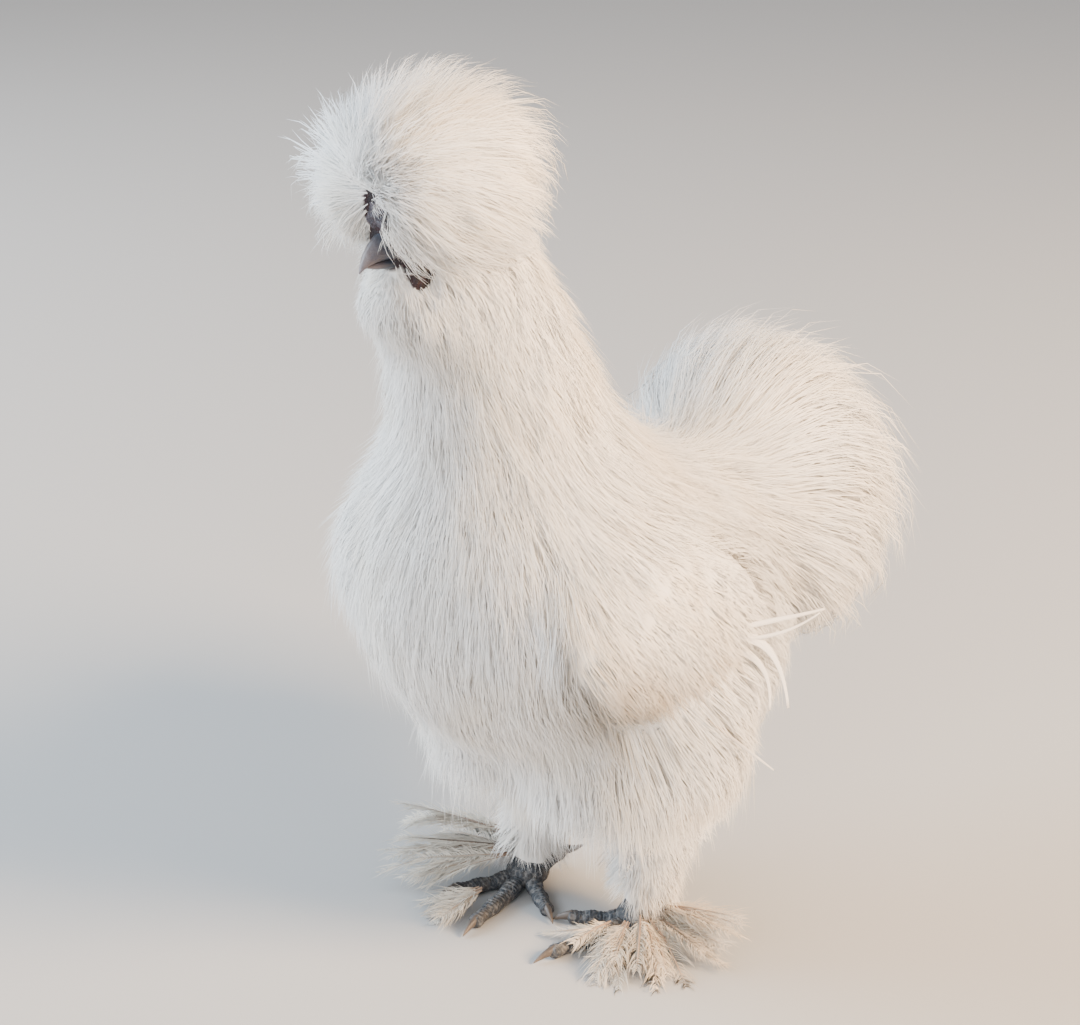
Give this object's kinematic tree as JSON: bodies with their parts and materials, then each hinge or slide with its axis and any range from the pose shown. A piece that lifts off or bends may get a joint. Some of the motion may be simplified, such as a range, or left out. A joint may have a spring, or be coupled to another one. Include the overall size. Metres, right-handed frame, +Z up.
{
  "type": "silkie chicken",
  "caption": "Life-size still model of a white silkie fowl standing on both feet, with a round crest, silky coat, short curved tail cushion and feathered five-toed feet.",
  "frame": {"origin": "middle of the bird's box, on the floor under its soles", "axes": "+Z up, the beak points towards -Y, and the bird's left side is at +X"},
  "size_m": [0.169, 0.307, 0.3775],
  "materials": {
    "plumage": "white silky plumage, matt, slightly cream",
    "foot_plumage": "soiled cream foot feathering, matt",
    "face_skin": "dark mulberry bare skin, fine wrinkles",
    "comb": "dark slate warty skin",
    "wattle": "dark maroon soft skin",
    "earlobe": "muted turquoise soft skin",
    "beak": "slate horn with a paler tip, satin",
    "eye": "near black, wet gloss",
    "foot_skin": "slate scaled skin with pale scute edges",
    "claw": "brownish horn, satin"
  },
  "bodies": {
    "root": {"torso": "plumage", "neck": "plumage", "crest": "plumage", "beard": "plumage", "tail": "plumage", "left_wing": "plumage", "right_wing": "plumage", "left_thigh": "plumage", "right_thigh": "plumage", "left_shank": "foot_plumage", "right_shank": "foot_plumage", "head": "face_skin", "comb": "comb", "upper_beak": "beak", "lower_beak": "beak", "left_eye": "eye", "right_eye": "eye", "left_wattle": "wattle", "right_wattle": "wattle", "left_earlobe": "earlobe", "right_earlobe": "earlobe", "left_foot": "foot_skin", "right_foot": "foot_skin", "left_middle_claw": "claw", "left_inner_claw": "claw", "left_outer_claw": "claw", "left_back_claw": "claw", "left_fifth_claw": "claw", "right_middle_claw": "claw", "right_inner_claw": "claw", "right_outer_claw": "claw", "right_back_claw": "claw", "right_fifth_claw": "claw"}
  },
  "joints": []
}
